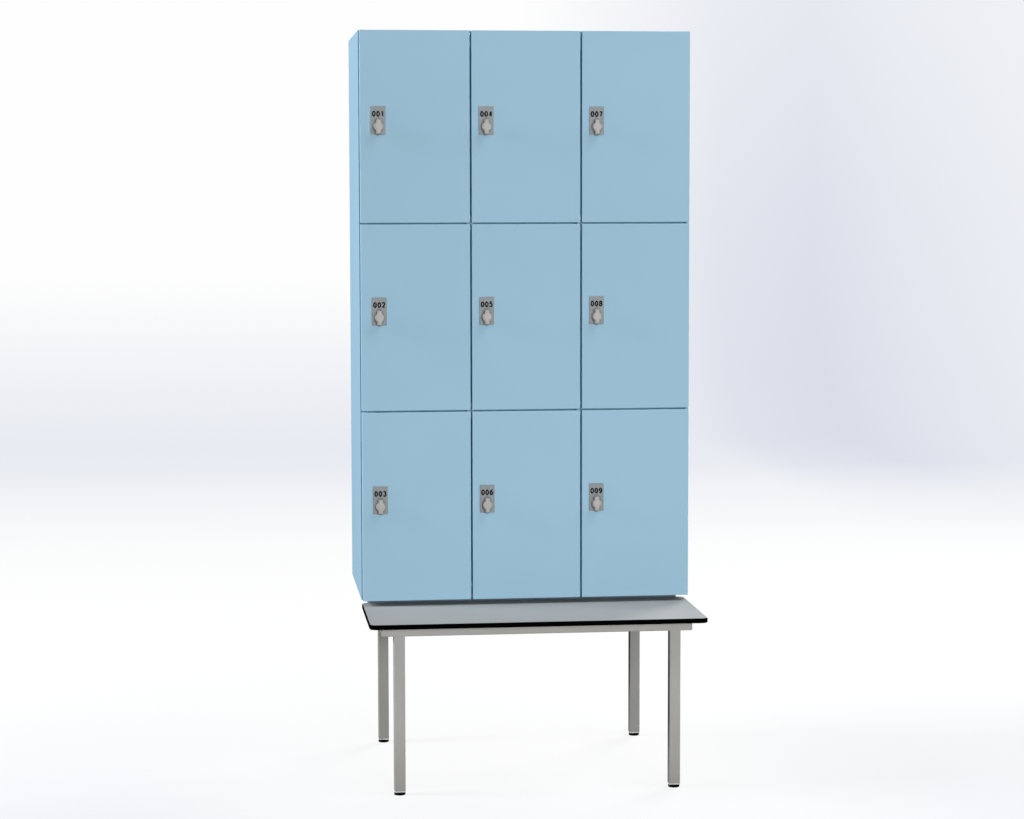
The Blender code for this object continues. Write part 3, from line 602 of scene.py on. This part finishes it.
# Strokes of the digits in a box one wide and one high
SIX = [bow((0.9, 0.34), 0.9, 0.66, 86, 180), bow((0.5, 0.31), 0.5, 0.31, 0, 360)]
DIGITS = {
    0: [bow((0.5, 0.5), 0.5, 0.5, 0, 360, TURNED_STEPS)],
    1: [[(0.15, 0.78), (0.6, 1.0)], [(0.6, 1.0), (0.6, 0.0)]],
    2: [bow((0.5, 0.71), 0.47, 0.29, 168, -32), [(0.9, 0.56), (0.08, 0.0)], [(0.0, 0.0), (1.0, 0.0)]],
    3: [bow((0.46, 0.755), 0.43, 0.245, 155, -90), bow((0.46, 0.255), 0.5, 0.255, 90, -158)],
    4: [[(0.74, 0.0), (0.74, 1.0)], [(0.74, 1.0), (0.04, 0.27)], [(0.0, 0.27), (1.0, 0.27)]],
    5: [[(0.92, 1.0), (0.12, 1.0)], [(0.2, 1.0), (0.12, 0.55)], bow((0.45, 0.32), 0.52, 0.32, 132, -155)],
    6: SIX,
    7: [[(0.0, 1.0), (1.0, 1.0)], [(0.94, 1.0), (0.36, 0.0)]],
    8: [bow((0.5, 0.755), 0.42, 0.245, 0, 360), bow((0.5, 0.26), 0.5, 0.26, 0, 360)],
    9: [[(1 - x, 1 - y) for x, y in stroke] for stroke in SIX],
}


def build_numeral(number, plate_low, plate_high):
    """Three plain digits printed on a lock plate."""
    curve = bpy.data.curves.new(f"numeral_{number}", "CURVE")
    curve.dimensions = "3D"
    curve.bevel_depth = NUMERAL_STROKE / 2
    curve.bevel_resolution = 2
    curve.use_fill_caps = True
    curve.materials.append(INK)
    width, height = NUMERAL_WIDTH - NUMERAL_STROKE, NUMERAL_HEIGHT - NUMERAL_STROKE
    for place, digit in enumerate((0, 0, number)):
        left = (place - 1) * NUMERAL_PITCH - width / 2
        for stroke in DIGITS[digit]:
            closed = (Vector(stroke[0]) - Vector(stroke[-1])).length < TINY
            points = stroke[:-1] if closed else stroke
            spline = curve.splines.new("POLY")
            spline.points.add(len(points) - 1)
            for point, (x, y) in zip(spline.points, points):
                point.co = (left + x * width, (y - 0.5) * height, 0, 1)
            spline.use_cyclic_u = closed
    numeral = bpy.data.objects.new(f"numeral_{number}", curve)
    bpy.context.scene.collection.objects.link(numeral)
    numeral.scale = (1, 1, INK_THICKNESS / NUMERAL_STROKE)
    numeral.rotation_euler = (pi / 2, 0, 0)
    middle = (plate_low.x + plate_high.x) / 2
    numeral.location = (middle, PLATE_FRONT_Y, plate_high.z - NUMERAL_BELOW_PLATE_TOP)
    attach(numeral, f"leaf_{number}")


def build_lock(number):
    """The visible lock of one door: what turns replaces the part's knob."""
    plate_low, plate_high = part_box(f"lock_plate_{number}")
    height = plate_high.z - PLATE_TOP_ABOVE_SPINDLE
    place = Vector(((plate_low.x + plate_high.x) / 2, 0, height))
    turning = f"turn_{number}"
    grip = add_piece(f"grip_{number}", grip_mesh(place), SILVER, turning)
    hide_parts(f"knob_{number}")
    add_piece(f"grip_shade_flange_{number}", flange_mesh(place), SHADE_FLANGE, turning)
    add_piece(f"spindle_{number}", spindle_mesh(place), STEEL, turning)
    add_piece(f"cam_{number}", cam_mesh(place), STEEL, turning)
    backward = Matrix.Rotation(-pi / 2, 4, "X")
    bm = bmesh.new()
    start = (place.x, CAM_FRONT_Y + CAM_THICKNESS + TOUCH, height)
    washer = Matrix.Translation(start) @ backward
    ring = around(lambda a: WASHER_RADIUS)
    loft(bm, [placed(ring, 0, washer), placed(ring, WASHER_THICKNESS, washer)])
    head = washer @ Matrix.Translation((0, 0, WASHER_THICKNESS + TOUCH))
    hex_head(bm, head, BOLT_ACROSS, BOLT_HEIGHT)
    add_piece(f"cam_bolt_{number}", bm, BRIGHT, turning)
    bm = bmesh.new()
    behind = Matrix.Translation((place.x, DOOR_REAR_Y + FIT_GAP, height)) @ backward
    hex_head(bm, behind, BARREL_NUT_ACROSS, BARREL_NUT_HEIGHT, BARREL_RADIUS + TOUCH)
    add_piece(f"barrel_nut_{number}", bm, BRIGHT, f"leaf_{number}")
    build_numeral(number, plate_low, plate_high)


for number in range(1, DOORS + 1):
    build_lock(number)


# Fixings and welds


def build_hinge_screws(column, level):
    """Two screws in the plate of a hinge, clear of its ear."""
    low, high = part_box(f"hinge_{column}_{level}")
    middle_z = (low.z + high.z) / 2
    x = high.x - HINGE_PLATE_HALF_WIDTH
    forward = Matrix.Rotation(pi / 2, 4, "X")
    bm = bmesh.new()
    for side in (-1, 1):
        place = (x, CARCASS_Y - TOUCH, middle_z + side * HINGE_SCREW_SPREAD)
        screw_head(bm, Matrix.Translation(place) @ forward, HINGE_SCREW_RADIUS, HINGE_SCREW_RISE)
    add_piece(f"hinge_screws_{column}_{level}", bm, BRIGHT, "cabinet")


def build_frame_bolts():
    """Bolts up through the rails that carry the plinth. The cross rail lies a little higher."""
    low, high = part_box("bench_frame")
    rear_rail_y = high.y - RAIL_WIDTH / 2
    downward = Matrix.Rotation(pi, 4, "X")
    bm = bmesh.new()
    for y, underside in (
        (CROSS_RAIL_Y, RAIL_UNDERSIDE + TOUCH),
        (rear_rail_y, RAIL_UNDERSIDE - TOUCH),
    ):
        for side in (-1, 1):
            place = (side * FRAME_BOLT_OFFSET, y, underside)
            hex_head(bm, Matrix.Translation(place) @ downward, FRAME_BOLT_ACROSS, FRAME_BOLT_HEIGHT)
    add_piece("frame_bolts", bm, BRIGHT, "cabinet")


def weld_bead(bm, start, end):
    """A rippled bead from one point to another, as wide as a small fillet weld."""
    start, end = Vector(start), Vector(end)
    along = end - start
    turn = Vector((0, 0, 1)).rotation_difference(along).to_matrix().to_4x4()
    place = Matrix.Translation(start) @ turn
    steps = round(along.length / WELD_RIPPLE) * WELD_RIPPLE_STEPS
    rings = []
    for step in range(steps + 1):
        swell = 1 + WELD_SWELL_SHARE * sin(step / WELD_RIPPLE_STEPS * 2 * pi)
        taper = WELD_END_SHARE if step in (0, steps) else 1
        radius = WELD_RADIUS * swell * taper
        circle = around(lambda a: radius, WELD_SIDES)
        rings.append(placed(circle, along.length * step / steps, place))
    loft(bm, rings)


def build_welds():
    """Beads where legs meet rails, and where the cross rail meets the side rails."""
    low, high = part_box("bench_frame")
    legs_y = (low.y + RAIL_WIDTH / 2, high.y - RAIL_WIDTH / 2)
    bm = bmesh.new()
    for side in (-1, 1):
        inner_x = side * (LEG_X - LEG_HALF_WIDTH)
        for y in legs_y:
            start = (inner_x, y - LEG_HALF_WIDTH + WELD_RADIUS, RAIL_UNDERSIDE)
            end = (inner_x, y + LEG_HALF_WIDTH - WELD_RADIUS, RAIL_UNDERSIDE)
            weld_bead(bm, start, end)
        rail_x = side * (high.x - RAIL_WIDTH)
        for step in (-1, 1):
            y = CROSS_RAIL_Y + step * RAIL_WIDTH / 2
            start = (rail_x, y, RAIL_UNDERSIDE + WELD_RADIUS)
            weld_bead(bm, start, (rail_x, y, high.z - WELD_RADIUS))
    add_piece("frame_welds", bm, TUBE, "cabinet")


def build_glide(corner):
    """A moulded glide with eased rims, and its stem up into the plug."""
    name = f"foot_{corner}"
    low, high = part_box(name)
    middle = (low + high) / 2
    radius = (high.x - low.x) / 2
    profile = [(radius * wide, low.z + GLIDE_HEIGHT * rise) for wide, rise in GLIDE_SHARES]
    profile += [(GLIDE_STEM_RADIUS, low.z + GLIDE_HEIGHT), (GLIDE_STEM_RADIUS, high.z)]
    bm = turned(bmesh.new(), (middle.x, middle.y, 0), profile, ROUND_STEPS, "Z")
    glide = add_piece(f"glide_{corner}", bm, RUBBER, "cabinet")
    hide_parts(name)


for column in COLUMN_NAMES:
    for level in HINGE_LEVELS:
        build_hinge_screws(column, level)
for corner in CORNERS:
    build_glide(corner)
build_frame_bolts()
build_welds()


# Floor, backdrop, light and camera

FLOOR_HALF_WIDTH = 14
FLOOR_FRONT_Y = -16
WALL_Y = 10
WALL_HEIGHT = 9
COVE_RADIUS = 1.2
COVE_STEPS = 12
FLOOR_DROP = 0.0002
# Lengths over which the painted shade on floor and wall changes. In front it starts before Y = 0, by a
# share of the wall's distance.
SHADE_HEIGHT = 4.0
SHADE_WIDTH = 10.0
SHADE_START_SHARE = 0.2
STAGE_WHITE = (0.99, 0.99, 0.99)
# Colour of the painted shade on the backdrop
STAGE_SHADE_BLUE = (0.69, 0.725, 0.815)
STAGE_BOUNCE = (0.05, 0.05, 0.05)
SKY_WHITE = (0.97, 0.97, 0.98)
AMBIENT = (0.065, 0.0655, 0.068)


def stage_material():
    """White to the camera, with painted bluish shade on the wall and over the front floor, keeping a
    share of the real shadows. Dark to bounced light.
    """
    shader = Shader("stage_white")
    tree = shader.tree
    path = shader.node("ShaderNodeLightPath")
    seen = shader.maths("MAXIMUM", path.outputs["Is Camera Ray"], path.outputs["Is Glossy Ray"])
    split = shader.node("ShaderNodeSeparateXYZ")
    shader.link(shader.place, split.inputs[0])
    depth = shader.maths("DIVIDE", split.outputs["Y"], WALL_Y)
    height = shader.maths("DIVIDE", split.outputs["Z"], SHADE_HEIGHT)
    side = shader.maths("ADD", shader.maths("DIVIDE", split.outputs["X"], SHADE_WIDTH), 0.5)
    ahead = shader.maths("ADD", depth, SHADE_START_SHARE)
    back = shader.ramp(depth, (0.3, 0.0), (0.45, 0.13), (0.62, 0.5), (0.76, 0.9), (0.9, 1.0))
    # Painted shade: low on the wall, in a soft patch to the right on the wall, lightly over the floor in
    # front, and more at its front corners
    low = shader.ramp(height, (0.0, 0.62), (0.08, 0.45), (0.17, 0.2), (0.26, 0.0))
    shade_patch = shader.ramp(side, (0.62, 0.0), (0.755, 0.86), (0.82, 1.0), (0.88, 0.8), (0.97, 0.6))
    patch_fade = shader.ramp(height, (0.1, 1.0), (0.35, 0.9), (0.7, 0.68), (1.0, 0.6))
    painted_shade = shader.maths("MAXIMUM", low, shader.maths("MULTIPLY", shade_patch, patch_fade))
    near = shader.ramp(ahead, (0.12, 0.15), (0.21, 0.0))
    painted_shade = shader.maths("MAXIMUM", shader.maths("MULTIPLY", painted_shade, back), near)
    left = ((0.39, 0.33), (0.43, 0.14), (0.48, 0.0))
    right = ((0.54, 0.0), (0.58, 0.18), (0.61, 0.27))
    corner_shade = shader.ramp(side, *left, *right)
    front = shader.ramp(ahead, (0.15, 1.0), (0.3, 0.0))
    painted_shade = shader.maths("MAXIMUM", painted_shade, shader.maths("MULTIPLY", corner_shade, front))
    colour = shader.mix(painted_shade, STAGE_WHITE, STAGE_SHADE_BLUE)
    far = shader.ramp(depth, (0.1, 0.85), (0.5, 1.0))
    glow = shader.node("ShaderNodeEmission")
    shader.link(colour, glow.inputs["Color"])
    matt = shader.node("ShaderNodeBsdfDiffuse")
    shader.link(shader.mix(seen, STAGE_BOUNCE, colour), matt.inputs["Color"])
    blend = shader.node("ShaderNodeMixShader")
    shader.link(shader.maths("MULTIPLY", seen, far), blend.inputs[0])
    shader.link(matt.outputs[0], blend.inputs[1])
    shader.link(glow.outputs[0], blend.inputs[2])
    tree.nodes.remove(shader.surface)
    shader.link(blend.outputs[0], tree.nodes["Material Output"].inputs["Surface"])
    return shader.material


def build_stage():
    """Floor running up into a wall in one curve."""
    profile = [(FLOOR_FRONT_Y, 0), (WALL_Y - COVE_RADIUS, 0)]
    profile += arc((WALL_Y - COVE_RADIUS, COVE_RADIUS), COVE_RADIUS, -pi / 2, 0, COVE_STEPS)[1:]
    profile.append((WALL_Y, WALL_HEIGHT))
    bm = bmesh.new()
    left = [bm.verts.new((-FLOOR_HALF_WIDTH, y, z)) for y, z in profile]
    right = [bm.verts.new((FLOOR_HALF_WIDTH, y, z)) for y, z in profile]
    for i in range(len(profile) - 1):
        bm.faces.new((left[i], right[i], right[i + 1], left[i + 1]))
    mesh = bpy.data.meshes.new("stage")
    bm.to_mesh(mesh)
    bm.free()
    mesh.shade_smooth()
    mesh.materials.append(stage_material())
    stage = bpy.data.objects.new("stage", mesh)
    stage.location.z = -FLOOR_DROP
    bpy.context.scene.collection.objects.link(stage)


def build_world():
    """Dim light from all round, and near white where the camera sees past the stage."""
    world = bpy.data.worlds.new("studio")
    world.use_nodes = True
    tree = world.node_tree
    nodes, links = tree.nodes, tree.links
    light = nodes["Background"]
    light.inputs["Color"].default_value = (*AMBIENT, 1)
    seen = nodes.new("ShaderNodeBackground")
    seen.inputs["Color"].default_value = (*SKY_WHITE, 1)
    path = nodes.new("ShaderNodeLightPath")
    either = nodes.new("ShaderNodeMath")
    either.operation = "MAXIMUM"
    links.new(path.outputs["Is Camera Ray"], either.inputs[0])
    links.new(path.outputs["Is Glossy Ray"], either.inputs[1])
    both = nodes.new("ShaderNodeMath")
    both.operation = "MAXIMUM"
    links.new(either.outputs[0], both.inputs[0])
    links.new(path.outputs["Is Transmission Ray"], both.inputs[1])
    mix = nodes.new("ShaderNodeMixShader")
    links.new(both.outputs[0], mix.inputs[0])
    links.new(light.outputs[0], mix.inputs[1])
    links.new(seen.outputs[0], mix.inputs[2])
    links.new(mix.outputs[0], nodes["World Output"].inputs["Surface"])
    bpy.context.scene.world = world


def add_light(name, place, target, size, level, colour):
    """A soft square lamp. Level is the share of full light that it gives at its target."""
    away = Vector(place) - Vector(target)
    lamp = bpy.data.lights.new(name, "AREA")
    lamp.size = size
    lamp.energy = level * pi * pi * away.length_squared
    lamp.color = colour
    made = bpy.data.objects.new(name, lamp)
    made.location = place
    made.rotation_euler = away.to_track_quat("Z", "Y").to_euler()
    made.visible_camera = False
    bpy.context.scene.collection.objects.link(made)


def build_camera():
    """Level and looking along Y, then turned right by its yaw, up by its pitch, and rolled."""
    data = bpy.data.cameras.new("camera")
    data.lens = LENS
    data.sensor_width = SENSOR
    data.sensor_fit = "HORIZONTAL"
    data.clip_end = CLIP_END
    camera = bpy.data.objects.new("camera", data)
    yaw = Matrix.Rotation(-CAMERA_YAW, 4, "Z")
    pitch = Matrix.Rotation(pi / 2 + CAMERA_PITCH, 4, "X")
    roll = Matrix.Rotation(CAMERA_ROLL, 4, "Z")
    camera.matrix_world = Matrix.Translation(CAMERA_PLACE) @ yaw @ pitch @ roll
    bpy.context.scene.collection.objects.link(camera)
    bpy.context.scene.camera = camera


MIDDLE = (0, 0, 1.1)
WHITE = (1, 1, 1)
COOL_WHITE = (0.953, 0.966, 1.0)
# Each lamp's name, place, target, width, level and colour
LAMPS = (
    ("front_softbox", (2.9, -14.0, 1.9), MIDDLE, 3.2, 0.38, WHITE),
    ("high_softbox", (1.2, -13.0, 3.3), MIDDLE, 2.6, 0.205, WHITE),
    ("low_softbox", (-0.3, -1.8, 0.02), (-0.3, -1.8, 1.0), 2.6, 1.2, WHITE),
    ("low_right_softbox", (1.9, -2.4, 0.02), (1.9, -2.4, 1.0), 2.6, 0.8, WHITE),
    ("left_softbox", (-9.0, 0.1, 4.8), MIDDLE, 3.2, 1.0, COOL_WHITE),
    ("top_softbox", (2.2, -2.3, 6.5), MIDDLE, 2.2, 0.23, WHITE),
    ("right_softbox", (4.4, -1.4, 4.6), MIDDLE, 2.4, 0.16, WHITE),
    ("rear_softbox", (5.5, 7.0, 4.5), MIDDLE, 4.0, 0.85, WHITE),
)

build_stage()
build_world()
for lamp in LAMPS:
    add_light(*lamp)
build_camera()

bpy.context.scene.view_settings.view_transform = "Standard"
